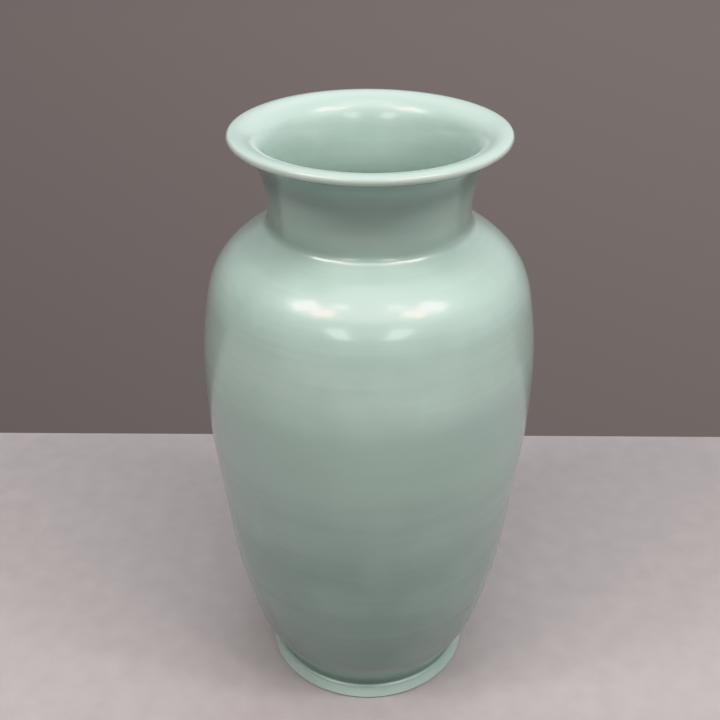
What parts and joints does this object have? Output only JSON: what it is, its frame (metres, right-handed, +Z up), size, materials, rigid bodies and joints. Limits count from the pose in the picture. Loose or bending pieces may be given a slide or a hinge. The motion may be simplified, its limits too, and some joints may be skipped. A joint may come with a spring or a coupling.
{
  "type": "porcelain vase",
  "caption": "Baluster vase with a wide everted lip, short waisted neck, full shoulder, tapering body and low foot ring, in pale blue-green glazed porcelain.",
  "frame": {"origin": "centre of the foot ring's contact face, where the vase stands on the ground", "axes": "+Z up along the vase's axis of turning, out of its mouth"},
  "size_m": [0.2152, 0.2152, 0.4],
  "materials": {
    "glaze": "satin-gloss celadon glaze, pale where it thins and bluer where it pools",
    "biscuit": "unglazed fired porcelain, iron-brown where it shows on the foot",
    "slip": "fired slip"
  },
  "bodies": {
    "root": {"foot_ring": "biscuit", "lower_body": "biscuit", "upper_body": "biscuit", "neck": "biscuit", "foot_slip_joint": "slip", "belly_slip_joint": "slip", "neck_slip_joint": "slip", "glaze_coat": "glaze", "base_glaze": "glaze"}
  },
  "joints": []
}
